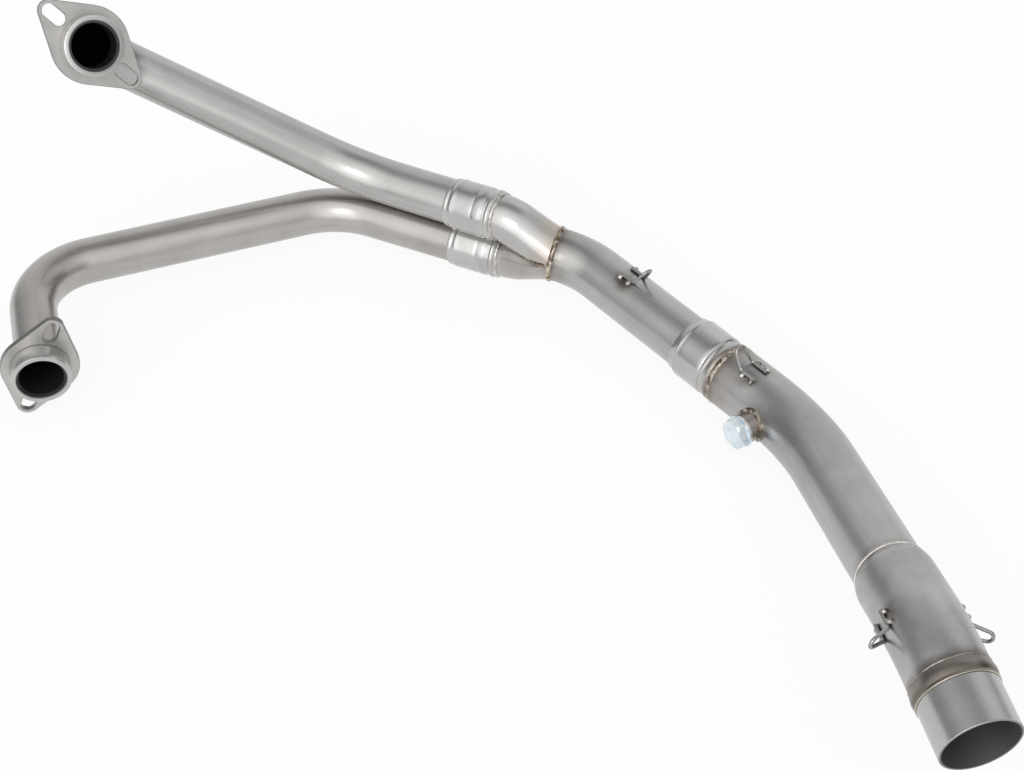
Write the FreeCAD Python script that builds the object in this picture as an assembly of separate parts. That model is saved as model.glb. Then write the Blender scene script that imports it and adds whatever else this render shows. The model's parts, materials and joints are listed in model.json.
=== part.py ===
import FreeCAD, Part
import os
from math import asin, atan2, cos, degrees, pi, radians, sin, sqrt, tan
from FreeCAD import Matrix, Placement, Vector

# Two-into-one exhaust manifold for a motorbike, in millimetres.
# It lies as it rests on a bench: +Z up, +X from the ports towards the outlet.
# Stations are measured along each route, from its first corner.
# Clock angles are measured about a route from its upper side.

# Tube sizes
header_od = 38.1
collector_od = 44.45
end_od = 57.15
header_wall = 1.2
inlet_wall = 1.5
collector_wall = 1.5
link_wall = 1.5
end_wall = 1.6
slip_clearance = 0.2
seat_clearance = 0.2

# Slip sockets: the link tube is as wide as the socket on its end
socket_wall = 2.05
mid_socket_wall = 2.975
link_od = collector_od + 2 * (slip_clearance + mid_socket_wall)

# The two header sockets lie one over the other, a small gap apart
socket_gap = 1.90865
socket_middle = (21.4, 153.15, 43.35)
socket_rise = (0.2, -4.3, 44.3)
upper_knee_run = (-113.5, 62.5, 0.5)
lower_knee_run = (-134.3, 64.2, 5.8)

# Bent routes: corner points and the centreline radius at each inner corner
upper_corners = [(-279, 166, 240.5), (-310, 223, 209)]
upper_radii = [56, 108]
lower_corners = [(-335.5, 7.5, 47), (-364, 121.5, 48.5)]
lower_radii = [57, 78]
main_corners = [
    (333.5, -399.5, 66.5), (313.5, -321, 75.5), (258.5, -79, 24.5), (96.3, 119, 36), (74, 125.5, 40)]
main_radii = [150, 170, 72]

# Port flanges and collars
flange_thickness = 5.0
flange_body_radius = 32.5
flange_lobe_radius = 10.0
slot_width = 11.2
slot_inner_radius = 31.0
slot_outer_radius = 41.0
upper_flange_clock = -32
lower_flange_clock = 26
collar_od = 47.6
collar_height = 15.0
collar_edge = 0.9
collar_recess = 3.0
spigot_wall = 1.6
spigot_reach = 1.5
port_bead_height = 1.6
port_bead_width = 2.6

# Slip sockets for the headers
socket_length = 43.0
socket_depth = 33.0
socket_rear = 8.5
socket_lead = 5.5
socket_lead_drop = 1.1
lip_length = 3.4
lip_round = 1.0
groove_depth = 0.9
groove_width = 3.8
groove_step = 0.4
joint_bead_width = 3.2

# Collector
inlet_lead = 5.0
merge_offset = 6.2
merge_overrun = 22.0
merge_cone_length = 12.0
merge_cone_angle = 28
merge_bead_width = 4.4
merge_bead_reach = 2.64
merge_bead_height = 1.7
seam_bead_radius = 2.2
seam_start_share = 0.42

# Slip socket between the collector and the link tube
mid_socket_station = 415.0
mid_socket_length = 44.5
mid_socket_depth = 34.5
mid_socket_lead = 6.5
mid_socket_lead_drop = 1.9
mid_bead_width = 4.4
mid_bead_height = 0.5

# Joint between the link tube and the end tube
shoulder_station = 152.5
shoulder_length = 17.0
shoulder_lift = 0.5
shoulder_belly = (0.45, 0.83)
shoulder_bead_width = 1.8
shoulder_bead_height = 0.7

# Outlet end
sleeve_length = 36.0
band_length = 13.6
band_lift = 1.375
band_edge = 1.3
band_bead_width = 2.0
band_bead_height = 0.8

# Wire spring hooks
wire_diameter = 2.8
hook_spacing = 12.0
hook_tip_width = 7.4
hook_leg = 15.5
hook_arm = 16.6
hook_rise = 60
hook_bend_radius = 3.2
tip_rounding = 0.98
tack_radius = 2.5
tack_overhang = 0.45
tack_lift = 0.3
tack_stations = (3.6, 13.2)

# Each hook: station of its bend, clock angle, and which way its loop leans
collector_hook_place = (522.5, 8, -1)
link_hook_place = (394.5, -4, 1)
left_end_hook_place = (88.5, -76, -1)
right_end_hook_place = (88.0, 103, -1)

# Sensor boss and its blanking plug
boss_station = 361
boss_clock = -87
boss_diameter = 23.0
boss_height = 8.0
boss_root = 2.0
boss_thread = 18.0
thread_clearance = 0.15
boss_bead_width = 2.2
boss_bead_height = 2.0
plug_flats = 22.0
plug_head_height = 7.0
plug_face_share = 1.08
plug_chamfer_drop = 2.2
plug_chamfer_depth = 8.2
plug_rim_diameter = 25.4
plug_rim_height = 1.6
plug_reach = 9.5
washer_outer = 23.6
washer_thickness = 1.6

# Shape of the fillet welds, as shares of their width and height
fillet_belly = (0.62, 0.72)

UP = Vector(0, 0, 1)


class Route:
    """A centreline of straight runs joined by tangent arcs."""

    def __init__(self, corners, radii):
        points = [Vector(*corner) for corner in corners]
        self.spans = []
        here = points[0]
        station = 0.0
        for before, corner, after, radius in zip(points, points[1:], points[2:], radii):
            arriving = (corner - before).normalize()
            leaving = (after - corner).normalize()
            turn = arriving.getAngle(leaving)
            tangent = radius * tan(turn / 2)
            arc_start = corner - arriving * tangent
            run = (arc_start - here).Length
            self.spans.append(("run", station, run, here, arriving, None, None, None))
            station += run
            axis = arriving.cross(leaving).normalize()
            centre = arc_start + axis.cross(arriving) * radius
            self.spans.append(("arc", station, radius * turn, arc_start, arriving, centre, axis, radius))
            station += radius * turn
            here = corner + leaving * tangent
        direction = (points[-1] - points[-2]).normalize()
        run = (points[-1] - here).Length
        self.spans.append(("run", station, run, here, direction, None, None, None))
        self.length = station + run

    def span_at(self, station):
        for span in reversed(self.spans):
            if station >= span[1]:
                return span
        return self.spans[0]

    def at(self, station):
        """Point and direction at a station, straight on past either end."""
        kind, first, _, start, direction, centre, axis, radius = self.span_at(station)
        travel = station - first
        if kind == "run":
            return start + direction * travel, Vector(direction)
        turned = FreeCAD.Rotation(axis, degrees(travel / radius))
        return centre + turned.multVec(start - centre), turned.multVec(direction)

    def frame(self, station, clock=0.0):
        """Placement with X along the route and Z outward at the clock angle."""
        point, direction = self.at(station)
        upper = (UP - direction * UP.dot(direction)).normalize()
        side = direction.cross(upper)
        outward = upper * cos(radians(clock)) + side * sin(radians(clock))
        across = outward.cross(direction)
        return Placement(Matrix(
            direction.x, across.x, outward.x, point.x,
            direction.y, across.y, outward.y, point.y,
            direction.z, across.z, outward.z, point.z,
            0, 0, 0, 1))

    def sweep(self, first, last, radius):
        """Solid bar of one radius between two stations."""
        pieces = []
        for index, (kind, start, length, _, _, centre, axis, bend) in enumerate(self.spans):
            low = first if index == 0 else max(first, start)
            high = last if index == len(self.spans) - 1 else min(last, start + length)
            if high - low < 1e-6:
                continue
            point, direction = self.at(low)
            if kind == "run":
                pieces.append(Part.makeCylinder(radius, high - low, point, direction))
            else:
                disc = Part.Face(Part.Wire(Part.makeCircle(radius, point, direction)))
                pieces.append(disc.revolve(centre, axis, degrees((high - low) / bend)))
        bar = pieces[0]
        if len(pieces) > 1:
            bar = bar.fuse(pieces[1:])
        return bar

    def tube(self, first, last, outer_radius, inner_radius):
        return self.sweep(first, last, outer_radius).cut(self.sweep(first, last, inner_radius))


def polygon(points):
    corners = [Vector(*point) for point in points]
    return Part.makePolygon(corners + corners[:1])


def turned(points, placement):
    """Solid of revolution about the local X axis from (along, radius) points."""
    profile = Part.Face(polygon([(along, 0, radius) for along, radius in points]))
    solid = profile.revolve(Vector(0, 0, 0), Vector(1, 0, 0), 360)
    solid.Placement = placement
    return solid


def bead(placement, radius, width, height, start=None):
    """Weld bead round a tube: a low arch on the tube from start to start + width."""
    low = -width / 2 if start is None else start
    foot_a = Vector(low, 0, radius)
    foot_b = Vector(low + width, 0, radius)
    crown = Vector(low + width / 2, 0, radius + height)
    arch = Part.Arc(foot_a, crown, foot_b).toShape()
    profile = Part.Face(Part.Wire([arch, Part.makeLine(foot_b, foot_a)]))
    solid = profile.revolve(Vector(0, 0, 0), Vector(1, 0, 0), 360)
    solid.Placement = placement
    return solid


def fillet_bead(placement, radius, step, width, side):
    """Weld in the corner between a tube and a larger end face, on one side of it."""
    root = Vector(0, 0, radius)
    top = Vector(0, 0, radius + step)
    toe = Vector(side * width, 0, radius)
    belly = Vector(side * width * fillet_belly[0], 0, radius + step * fillet_belly[1])
    arch = Part.Arc(top, belly, toe).toShape()
    profile = Part.Face(Part.Wire([Part.makeLine(root, top), arch, Part.makeLine(toe, root)]))
    solid = profile.revolve(Vector(0, 0, 0), Vector(1, 0, 0), 360)
    solid.Placement = placement
    return solid


def port_flange(route, clock):
    """Two-lobed plate with a slot in each lobe, behind the collar's shoulder."""
    hole_radius = header_od / 2 + spigot_wall + seat_clearance
    reach = slot_outer_radius
    lean = asin((flange_body_radius - flange_lobe_radius) / reach)
    outline = Part.makeCylinder(flange_body_radius, flange_thickness)
    for side in (1, -1):
        lobe = Part.makeCylinder(flange_lobe_radius, flange_thickness, Vector(side * reach, 0, 0))
        wedge = Part.Face(polygon([
            (side * flange_body_radius * sin(lean), flange_body_radius * cos(lean), 0),
            (side * (reach + flange_lobe_radius * sin(lean)), flange_lobe_radius * cos(lean), 0),
            (side * (reach + flange_lobe_radius * sin(lean)), -flange_lobe_radius * cos(lean), 0),
            (side * flange_body_radius * sin(lean), -flange_body_radius * cos(lean), 0)]))
        outline = outline.fuse([lobe, wedge.extrude(Vector(0, 0, flange_thickness))])
    outline = outline.removeSplitter()
    plate = outline.cut(Part.makeCylinder(hole_radius, flange_thickness))
    for side in (1, -1):
        inner = Vector(side * slot_inner_radius, 0, 0)
        outer = Vector(side * slot_outer_radius, 0, 0)
        middle = Part.makeBox(slot_outer_radius - slot_inner_radius, slot_width, flange_thickness)
        middle.translate(Vector(min(inner.x, outer.x), -slot_width / 2, 0))
        ends = [Part.makeCylinder(slot_width / 2, flange_thickness, end) for end in (inner, outer)]
        plate = plate.cut(ends[0].fuse([ends[1], middle]))
    # The plate's own Z runs along the route, and its own X out to a slot.
    along = FreeCAD.Rotation(Vector(0, 1, 0), 90)
    plate.Placement = route.frame(0, clock).multiply(Placement(Vector(0, 0, 0), along))
    return plate


def port_collar(route):
    """Turned collar: a ring in front of the flange and a spigot through its hole."""
    bore = header_od / 2 + seat_clearance
    ring = collar_od / 2
    spigot = header_od / 2 + spigot_wall
    tail = flange_thickness + spigot_reach
    return turned([
        (-collar_height, bore), (-collar_height, ring - collar_edge), (-collar_height + collar_edge, ring),
        (-seat_clearance, ring), (-seat_clearance, spigot), (tail, spigot), (tail, bore)], route.frame(0))


def port_bead(route):
    """Weld between the end of the collar's spigot and the header tube."""
    tail = flange_thickness + spigot_reach
    weld = fillet_bead(route.frame(tail), header_od / 2, port_bead_height, port_bead_width, 1)
    return weld.cut(route.sweep(0, tail + 2 * port_bead_width, header_od / 2))


def header_tube(route):
    first = -collar_height + collar_recess
    last = route.length - socket_start() + socket_depth
    return route.tube(first, last, header_od / 2, header_od / 2 - header_wall)


def socket_start():
    """Distance from a header socket's mouth to the end of its route."""
    return socket_length - socket_rear


def slip_socket(placement, tube_od, outer, length, depth, lead, lead_drop, stop_bore, side):
    """Turned slip socket from its mouth, with a rolled lip behind a groove."""
    bore = tube_od / 2 + slip_clearance
    groove_end = length - lip_length
    groove_start = groove_end - groove_width
    points = [
        (0, bore), (0, outer - lead_drop), (lead, outer),
        (groove_start, outer), (groove_start + groove_step, outer - groove_depth), (groove_end, outer),
        (length - lip_round, outer), (length, outer - lip_round), (length, stop_bore),
        (depth, stop_bore), (depth, bore)]
    return turned([(side * along, radius) for along, radius in points], placement)


def joint_bead(placement, tube_od, end_radius, side):
    """Weld from a socket's rear face down to the tube butted against it."""
    return fillet_bead(placement, tube_od / 2, end_radius - tube_od / 2, joint_bead_width, side)


def inlet_route(route, offset):
    """Centreline of one collector inlet, from its socket to the merge plane."""
    start, direction = route.at(route.length + socket_rear)
    lead_end = start + direction * inlet_lead
    merge, leaving = main_route.at(main_route.length)
    upward = (UP - leaving * UP.dot(leaving)).normalize()
    target = merge + upward * offset
    chord = target - lead_end
    reach = chord.dot(chord) / (2 * chord.dot(direction))
    knee = lead_end + direction * reach
    arriving = (target - knee).normalize()
    turn = direction.getAngle(arriving)
    corners = [start, knee, target + arriving * merge_overrun]
    return Route([tuple(corner) for corner in corners], [reach / tan(turn / 2)])


def merge_limit(shrink):
    """Space upstream of the merge plane, narrowing to the collector tube."""
    merge, outward = main_route.at(main_route.length)
    mouth = collector_od / 2 - shrink
    wide = mouth + merge_cone_length * tan(radians(merge_cone_angle))
    cone = Part.makeCone(mouth, wide, merge_cone_length, merge, outward)
    far = Part.makeCylinder(2 * header_od, 4 * header_od, merge + outward * merge_cone_length, outward)
    return cone.fuse(far)


def seam_side(route_a, route_b):
    """Half-space above the plane that parts the two inlets, as a large box."""
    merge, outward = main_route.at(main_route.length)
    start_a, heading = route_a.at(0)
    start_b, _ = route_b.at(0)
    middle = (start_a + start_b) * 0.5
    along = (merge - middle).normalize()
    level = heading.cross(UP).normalize()
    above = level.cross(along).normalize()
    size = 8 * header_od
    corner = merge - along * size / 2 - level * size / 2
    face = Part.Face(polygon([tuple(corner), tuple(corner + along * size),
                              tuple(corner + along * size + level * size), tuple(corner + level * size)]))
    return face.extrude(above * size), along, level, above


def collector_inlets(upper, lower):
    """Both inlet stubs, pinched to the collector tube and parted at the seam."""
    radius = header_od / 2
    bars = [route.sweep(0, route.length, radius) for route in (upper, lower)]
    bores = [route.sweep(-1, route.length, radius - inlet_wall) for route in (upper, lower)]
    outer_limit = merge_limit(0)
    inner_limit = merge_limit(inlet_wall)
    hollow = bores[0].fuse(bores[1]).common(inner_limit)
    upper_side, _, _, _ = seam_side(upper, lower)
    first = bars[0].common(outer_limit).common(upper_side).cut(hollow)
    second = bars[1].common(outer_limit).cut(upper_side).cut(hollow)
    return first, second


def seam_welds(upper, lower, taken):
    """A weld along each side of the crotch between the inlets."""
    _, along, level, above = seam_side(upper, lower)
    merge, outward = main_route.at(main_route.length)
    solids = []
    for side in (1, -1):
        points = []
        for share in (seam_start_share, (1 + seam_start_share) / 2, 1.0):
            station = inlet_lead + share * (upper.length - inlet_lead - merge_overrun)
            gap = []
            for route in (upper, lower):
                point, direction = route.at(station)
                drop = abs((point - merge).dot(above))
                gap.append((sqrt(max((header_od / 2) ** 2 - drop ** 2, 1.0)), point))
            reach = sum(width for width, _ in gap) / 2
            centre = (gap[0][1] + gap[1][1]) * 0.5
            foot = centre - above * (centre - merge).dot(above)
            points.append(foot + level * side * reach)
        heading = (points[1] - points[0]).normalize()
        path = Part.Wire([Part.Arc(*points).toShape()])
        section = Part.Wire(Part.makeCircle(seam_bead_radius, points[0], heading))
        weld = path.makePipe(Part.Face(section))
        for solid in taken:
            weld = weld.cut(solid)
        solids.append(max(weld.Solids, key=lambda piece: piece.Volume))
    return Part.makeCompound(solids)


def collector_tube():
    last = main_route.length
    first = mid_socket_station + mid_socket_length - mid_socket_depth
    return main_route.tube(first, last, collector_od / 2, collector_od / 2 - collector_wall)


def merge_weld():
    place = main_route.frame(main_route.length)
    return bead(place, collector_od / 2, merge_bead_width, merge_bead_height, -merge_bead_reach)


def link_tube():
    tube = main_route.tube(shoulder_station, mid_socket_station, link_od / 2, link_od / 2 - link_wall)
    hole = Part.makeCylinder(boss_thread / 2 + thread_clearance, link_od)
    hole.Placement = main_route.frame(boss_station, boss_clock)
    return tube.cut(hole)


def end_tube():
    """End tube with a rounded shoulder swaged down to the link tube."""
    straight_end = shoulder_station - shoulder_length
    first = sleeve_length + band_length
    body = main_route.tube(first, straight_end, end_od / 2, end_od / 2 - end_wall)
    small = link_od / 2 + shoulder_lift
    big = end_od / 2
    length = shoulder_length
    rise = big - small
    bulge = Vector(length * shoulder_belly[0], 0, small + rise * shoulder_belly[1])
    inner_bulge = bulge - Vector(0, 0, end_wall)
    outer_arc = Part.Arc(Vector(0, 0, big), bulge, Vector(length, 0, small)).toShape()
    inner_rim = Vector(length, 0, small - end_wall)
    inner_root = Vector(0, 0, big - end_wall)
    inner_arc = Part.Arc(inner_rim, inner_bulge, inner_root).toShape()
    rim = Part.makeLine(Vector(length, 0, small), inner_rim)
    root = Part.makeLine(inner_root, Vector(0, 0, big))
    profile = Part.Face(Part.Wire([outer_arc, rim, inner_arc, root]))
    shoulder = profile.revolve(Vector(0, 0, 0), Vector(1, 0, 0), 360)
    shoulder.Placement = main_route.frame(straight_end)
    return body.fuse(shoulder).removeSplitter()


def end_band():
    bore = end_od / 2 - end_wall
    outer = end_od / 2 + band_lift
    return turned([(0, bore), (0, outer - band_edge), (band_edge, outer), (band_length, outer),
                   (band_length, bore)], main_route.frame(sleeve_length))


def outlet_sleeve():
    return main_route.tube(0, sleeve_length, end_od / 2, end_od / 2 - end_wall)


def hook_seat(tube_od, offset, radius):
    """Height of a wire or bead that touches the tube off to one side."""
    return sqrt((tube_od / 2 + radius) ** 2 - offset ** 2)


def hook(place, tube_od):
    """Bent wire hook: two legs along the tube and a loop that stands off it."""
    station, clock, lean = place
    half = hook_spacing / 2
    tip = hook_tip_width / 2
    seat = hook_seat(tube_od, half, wire_diameter / 2)
    taper = atan2(half - tip, hook_arm)
    crown = tip_rounding * tip / tan((pi / 2 - taper) / 2)
    tip_along = lean * hook_arm * cos(radians(hook_rise))
    tip_out = seat + hook_arm * sin(radians(hook_rise))
    back = -lean * hook_leg
    corners = [(back, -half, seat), (0, -half, seat), (tip_along, -tip, tip_out),
               (tip_along, tip, tip_out), (0, half, seat), (back, half, seat)]
    wire = Route(corners, [hook_bend_radius, crown, crown, hook_bend_radius])
    shape = wire.sweep(0, wire.length, wire_diameter / 2)
    shape.Placement = main_route.frame(station, clock)
    return shape.cut(tube_near(place, tube_od))


def tube_near(place, tube_od):
    return main_route.sweep(place[0] - 2 * hook_leg, place[0] + 2 * hook_leg, tube_od / 2)


def hook_tacks(place, tube_od, wire):
    """Round weld tacks along the outer side of both legs of a hook."""
    station, clock, lean = place
    offset = hook_spacing / 2 + wire_diameter / 2 + tack_radius * tack_overhang
    height = hook_seat(tube_od, offset, 0) + tack_radius * tack_lift
    tube = tube_near(place, tube_od)
    tacks = []
    for side in (1, -1):
        for along in tack_stations:
            ball = Part.makeSphere(tack_radius)
            ball.translate(Vector(-lean * along, side * offset, height))
            tack = placed(ball, main_route.frame(station, clock)).cut(tube).cut(wire)
            tacks.append(max(tack.Solids, key=lambda piece: piece.Volume))
    return Part.makeCompound(tacks)


def boss_frame():
    return main_route.frame(boss_station, boss_clock)


def boss_face():
    return link_od / 2 + boss_height


def placed(shape, placement):
    shape.Placement = placement.multiply(shape.Placement)
    return shape


def sensor_boss():
    base = link_od / 2 - link_wall - boss_root
    body = Part.makeCylinder(boss_diameter / 2, boss_face() - base, Vector(0, 0, base))
    hole = Part.makeCylinder(boss_thread / 2 + thread_clearance, 2 * link_od)
    around = main_route.sweep(boss_station - link_od, boss_station + link_od, link_od / 2)
    return placed(body.cut(hole), boss_frame()).cut(around)


def boss_weld():
    """Fillet weld round the boss, following the curve of the tube."""
    inner = boss_diameter / 2
    body = Part.makeCylinder(inner + boss_bead_width, 2 * boss_diameter)
    core = Part.makeCylinder(inner, 3 * boss_diameter)
    ring = placed(body.cut(core), boss_frame())
    low = boss_station - link_od
    high = boss_station + link_od
    shell = main_route.sweep(low, high, link_od / 2 + boss_bead_height)
    return ring.common(shell).cut(main_route.sweep(low, high, link_od / 2))


def blanking_plug():
    """Hexagon plug with a round rim, seated on the washer."""
    seat = boss_face() + washer_thickness
    corner = plug_flats / 2 / cos(pi / 6)
    hexagon = [(corner * cos(pi / 3 * side), corner * sin(pi / 3 * side), seat + plug_rim_height)
               for side in range(6)]
    head = Part.Face(polygon(hexagon)).extrude(Vector(0, 0, plug_head_height))
    top = seat + plug_rim_height + plug_head_height
    face_radius = corner * plug_face_share - plug_chamfer_drop
    wide_radius = face_radius + plug_chamfer_depth
    chamfer_foot = Vector(0, 0, top - plug_chamfer_depth)
    chamfer = Part.makeCone(wide_radius, face_radius, plug_chamfer_depth, chamfer_foot)
    head = head.common(chamfer)
    rim = Part.makeCylinder(plug_rim_diameter / 2, plug_rim_height, Vector(0, 0, seat))
    length = plug_reach + washer_thickness
    shank = Part.makeCylinder(boss_thread / 2, length, Vector(0, 0, seat - length))
    return placed(head.fuse([rim, shank]).removeSplitter(), boss_frame())


def plug_washer():
    outer = Part.makeCylinder(washer_outer / 2, washer_thickness, Vector(0, 0, boss_face()))
    hole = Part.makeCylinder(boss_thread / 2 + thread_clearance, link_od, Vector(0, 0, link_od / 2))
    return placed(outer.cut(hole), boss_frame())


socket_radius = header_od / 2 + slip_clearance + socket_wall
half_rise = Vector(*socket_rise).normalize() * (socket_radius + socket_gap / 2)
upper_end = Vector(*socket_middle) + half_rise
lower_end = Vector(*socket_middle) - half_rise
upper_route = Route(upper_corners + [upper_end + Vector(*upper_knee_run), upper_end], upper_radii)
lower_route = Route(lower_corners + [lower_end + Vector(*lower_knee_run), lower_end], lower_radii)
main_route = Route(main_corners, main_radii)
upper_inlet_route = inlet_route(upper_route, merge_offset)
lower_inlet_route = inlet_route(lower_route, -merge_offset)

parts = {}
for name, route, clock in (("upper", upper_route, upper_flange_clock),
                           ("lower", lower_route, lower_flange_clock)):
    parts[name + "_flange"] = port_flange(route, clock)
    parts[name + "_port_collar"] = port_collar(route)
    parts[name + "_port_weld"] = port_bead(route)
    parts[name + "_header_tube"] = header_tube(route)
    parts[name + "_slip_socket"] = slip_socket(
        route.frame(route.length - socket_start()), header_od, socket_radius,
        socket_length, socket_depth, socket_lead, socket_lead_drop, header_od / 2 - inlet_wall, 1)
    parts[name + "_socket_weld"] = joint_bead(
        route.frame(route.length + socket_rear), header_od, socket_radius - lip_round, 1)

upper_inlet, lower_inlet = collector_inlets(upper_inlet_route, lower_inlet_route)
parts["upper_collector_inlet"] = upper_inlet
parts["lower_collector_inlet"] = lower_inlet
parts["collector_tube"] = collector_tube()
parts["collector_ring_weld"] = merge_weld().cut(upper_inlet).cut(lower_inlet)
parts["collector_seam_weld"] = seam_welds(
    upper_inlet_route, lower_inlet_route,
    [upper_inlet, lower_inlet, merge_limit(0).cut(merge_limit(0.001)), parts["collector_ring_weld"]])

parts["mid_slip_socket"] = slip_socket(
    main_route.frame(mid_socket_station + mid_socket_length), collector_od, link_od / 2, mid_socket_length,
    mid_socket_depth, mid_socket_lead, mid_socket_lead_drop, link_od / 2 - link_wall, -1)
parts["mid_socket_weld"] = bead(
    main_route.frame(mid_socket_station), link_od / 2, mid_bead_width, mid_bead_height, -mid_bead_width).cut(
    main_route.sweep(mid_socket_station - 2 * mid_bead_width, mid_socket_station, link_od / 2))
parts["link_tube"] = link_tube()
parts["sensor_boss"] = sensor_boss()
parts["sensor_boss_weld"] = boss_weld()
parts["plug_washer"] = plug_washer()
parts["blanking_plug"] = blanking_plug()
parts["end_tube"] = end_tube()
parts["shoulder_weld"] = fillet_bead(
    main_route.frame(shoulder_station), link_od / 2, shoulder_lift, shoulder_bead_width, 1)
parts["end_band"] = end_band()
parts["band_weld"] = fillet_bead(
    main_route.frame(sleeve_length + band_length), end_od / 2, band_bead_height, band_bead_width, 1)
parts["outlet_sleeve"] = outlet_sleeve()

for name, place, tube_od in (("collector_hook", collector_hook_place, collector_od),
                             ("link_hook", link_hook_place, link_od),
                             ("left_end_hook", left_end_hook_place, end_od),
                             ("right_end_hook", right_end_hook_place, end_od)):
    parts[name] = hook(place, tube_od)
    parts[name + "_weld"] = hook_tacks(place, tube_od, parts[name])

# The origin is under the middle of the part, on the surface that it rests on.
whole = Part.makeCompound(list(parts.values())).optimalBoundingBox(False, False)
to_origin = Vector(-whole.Center.x, -whole.Center.y, -whole.ZMin)

os.makedirs("parts", exist_ok=True)
print("moved by", tuple(round(value, 3) for value in to_origin))
for name, shape in parts.items():
    shape.translate(to_origin)
    shape.exportStep(os.path.join("parts", name + ".step"))
    box = shape.BoundBox
    print("%-24s solids %d valid %s volume %.0f z %.1f..%.1f" % (
        name, len(shape.Solids), shape.isValid(), shape.Volume, box.ZMin, box.ZMax))
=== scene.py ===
import json
import math
import bpy
import numpy as np
from mathutils import Matrix, Vector
from mathutils.geometry import delaunay_2d_cdt
from mathutils.kdtree import KDTree


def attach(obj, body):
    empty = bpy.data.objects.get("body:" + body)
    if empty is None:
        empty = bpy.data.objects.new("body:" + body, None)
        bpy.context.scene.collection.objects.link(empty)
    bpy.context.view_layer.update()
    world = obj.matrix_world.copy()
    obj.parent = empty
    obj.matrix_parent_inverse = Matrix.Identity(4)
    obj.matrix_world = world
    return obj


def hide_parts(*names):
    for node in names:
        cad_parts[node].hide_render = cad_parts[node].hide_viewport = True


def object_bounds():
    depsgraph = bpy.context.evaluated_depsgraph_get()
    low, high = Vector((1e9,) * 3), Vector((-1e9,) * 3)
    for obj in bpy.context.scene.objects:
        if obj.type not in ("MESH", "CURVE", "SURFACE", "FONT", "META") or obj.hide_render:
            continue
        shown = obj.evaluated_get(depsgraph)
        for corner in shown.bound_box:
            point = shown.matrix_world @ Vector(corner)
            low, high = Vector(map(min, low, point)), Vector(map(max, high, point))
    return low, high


bpy.ops.wm.read_factory_settings(use_empty=True)
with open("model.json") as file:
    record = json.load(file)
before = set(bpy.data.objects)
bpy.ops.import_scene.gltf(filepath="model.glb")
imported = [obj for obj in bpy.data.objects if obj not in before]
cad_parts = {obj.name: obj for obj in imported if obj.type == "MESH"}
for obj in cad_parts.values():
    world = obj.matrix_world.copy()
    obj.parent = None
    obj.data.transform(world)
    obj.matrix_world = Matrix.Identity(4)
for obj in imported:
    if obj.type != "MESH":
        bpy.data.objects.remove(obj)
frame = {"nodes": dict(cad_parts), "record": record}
cad_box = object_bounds()
MM = 0.001

# Centreline routes of the three tubes, in millimetres, as the solids have them
UPPER_CORNERS = [(-279, 166, 240.5), (-310, 223, 209), (-92, 213.5, 66), (21.5, 151, 65.5)]
UPPER_RADII = [56, 108]
LOWER_CORNERS = [(-335.5, 7.5, 47), (-364, 121.5, 48.5), (-113, 219.5, 27), (21.3, 155.3, 21.2)]
LOWER_RADII = [57, 78]
MAIN_CORNERS = [
    (333.5, -399.5, 66.5), (313.5, -321, 75.5), (258.5, -79, 24.5), (96.3, 119, 36), (74, 125.5, 40)]
MAIN_RADII = [150, 170, 72]

# Tube sizes in millimetres
HEADER_R = 19.05
COLLECTOR_R = 22.225
LINK_R = 25.4
END_R = 28.575
HEADER_WALL = 1.2
COLLECTOR_WALL = 1.5
END_WALL = 1.6

# Stations along the main route, from the outlet, with the shoulder's curve and the boss's clock
SLEEVE_END = 36.0
BAND_END = 49.6
SHOULDER = 152.5
SHOULDER_LENGTH = 11.0
SHOULDER_STEP = 1.0
SHOULDER_RISE = 0.01875
SHOULDER_CURVE = 0.02216
MID_JOINT = 415.0
MID_LENGTH = 44.5
MID_DEPTH = 34.5
BOSS = 361
BOSS_CLOCK = -87

# Each spring hook: station of its bend, clock, which way its loop leans, and its tube's radius
HOOKS = {
    "collector_hook": (522.5, 8, -1, COLLECTOR_R), "link_hook": (394.5, -4, 1, LINK_R),
    "left_end_hook": (88.5, -76, -1, END_R), "right_end_hook": (88.0, 103, -1, END_R)}

# A hook's two weld tacks: distance to each side and back from the bend, and how far the dark marks round them
# reach: heat tint, and at the link hook painted shade
TACK_SIDE = 8.5
TACK_MIDDLE = 8.4
TACK_MARK_REACH = 12.0

# Header sockets and port collars, measured along and across their tube
HEADER_START = -12.0
SOCKET_LENGTH = 43.0
SOCKET_REAR = 8.5
SOCKET_DEPTH = 33.0
SOCKET_PROFILE = [
    (0, 19.3), (0, 20.0), (0.4, 20.5), (1.3, 20.8), (2.3, 20.85), (3.1, 20.5), (4.6, 20.6), (5.8, 21.2),
    (6.8, 21.5), (7.6, 21.5), (8.6, 21.3), (26.0, 21.3), (26.5, 21.1), (27.1, 21.1), (27.6, 21.3),
    (33.8, 21.35), (34.6, 21.0), (35.3, 20.5), (36.0, 20.4), (37.0, 20.55), (38.0, 20.35), (38.6, 20.4),
    (39.2, 20.95), (39.8, 21.4), (40.5, 21.5), (41.3, 21.3), (42.2, 20.6), (43.0, 20.0), (43.0, 17.6),
    (33.0, 17.6), (33.0, 19.3)]
COLLAR_BORE = 20.1
COLLAR_PROFILE = [
    (-15, 20.2), (-15, 22.9), (-14.7, 23.5), (-14.1, 23.8), (-0.7, 23.8), (-0.2, 23.4), (-0.2, 20.65),
    (6.0, 20.65), (6.5, 20.2), (6.5, 19.25), (-14.2, 19.25)]

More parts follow.
